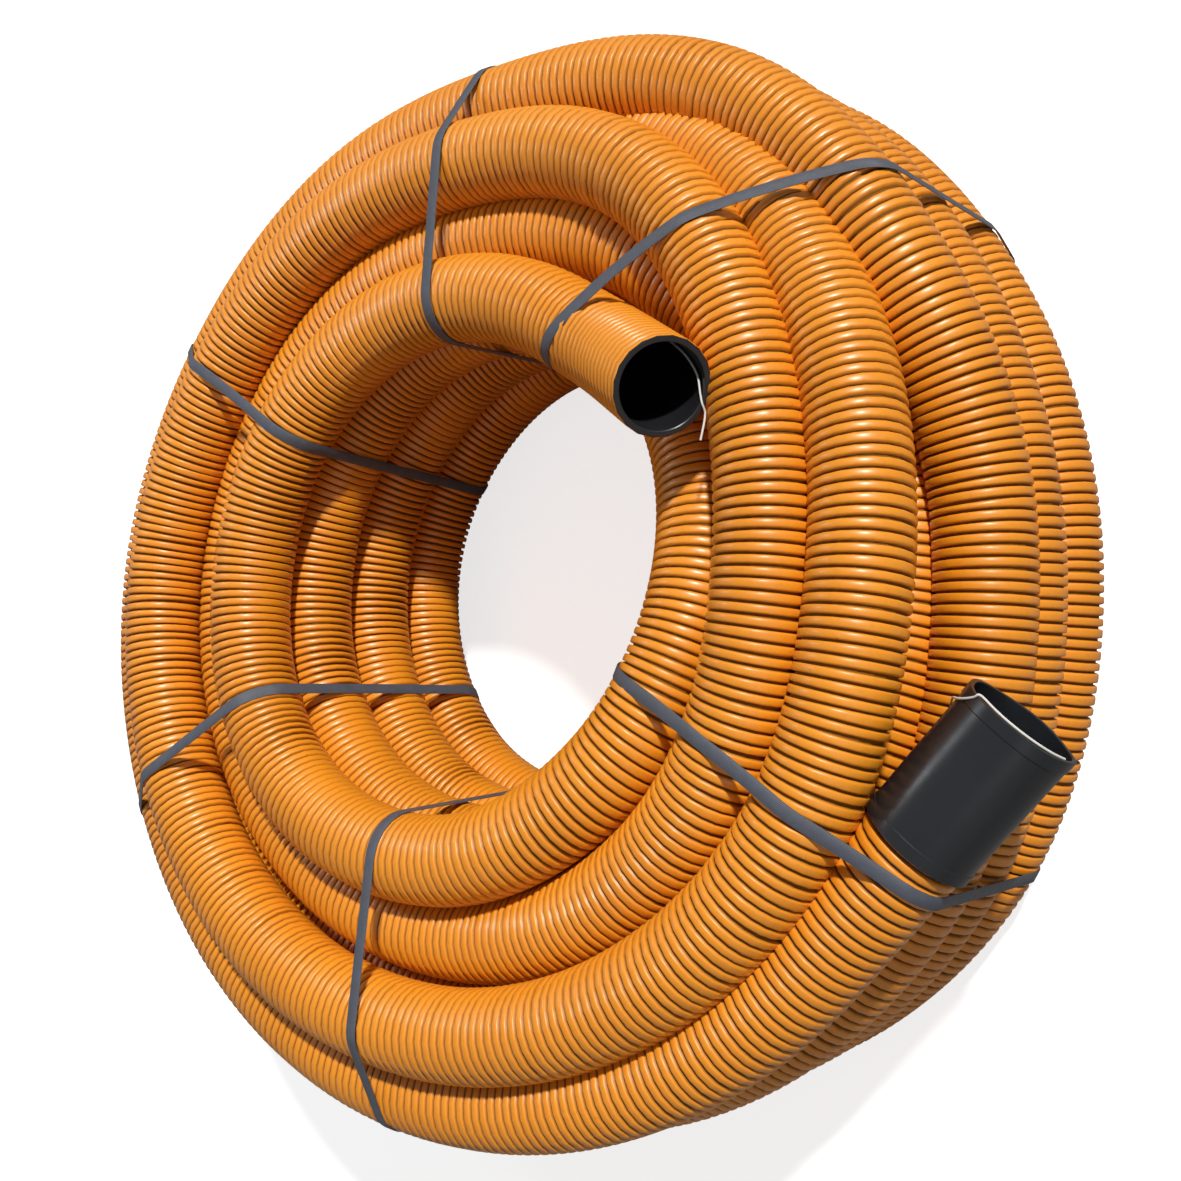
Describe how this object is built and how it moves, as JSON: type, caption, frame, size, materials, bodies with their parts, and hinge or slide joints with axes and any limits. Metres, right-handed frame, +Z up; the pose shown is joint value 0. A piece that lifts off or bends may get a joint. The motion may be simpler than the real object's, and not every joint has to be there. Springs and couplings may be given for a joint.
{
  "type": "corrugated cable duct coil",
  "caption": "Strapped coil of orange twin-wall corrugated cable duct lying on its face, with a black sleeve coupler on its outer end.",
  "frame": {"origin": "middle of the box's foot, on the floor under the lying coil", "axes": "+Z up along the coil's axis, from its back face on the floor to its front face with both duct ends; +X towards the coupler; +Y towards the coil's top in the picture"},
  "size_m": [1.4626, 1.3809, 0.5719],
  "materials": {
    "duct_plastic": "satin",
    "coupler_plastic": "gloss",
    "strap_band": "satin",
    "cord_fibre": "matte"
  },
  "bodies": {
    "root": {"duct": "duct_plastic", "coupler": "coupler_plastic", "strap_1": "strap_band", "strap_2": "strap_band", "strap_3": "strap_band", "strap_4": "strap_band", "strap_5": "strap_band", "strap_6": "strap_band", "draw_cord_inner": "cord_fibre", "draw_cord_outer": "cord_fibre"}
  },
  "joints": []
}
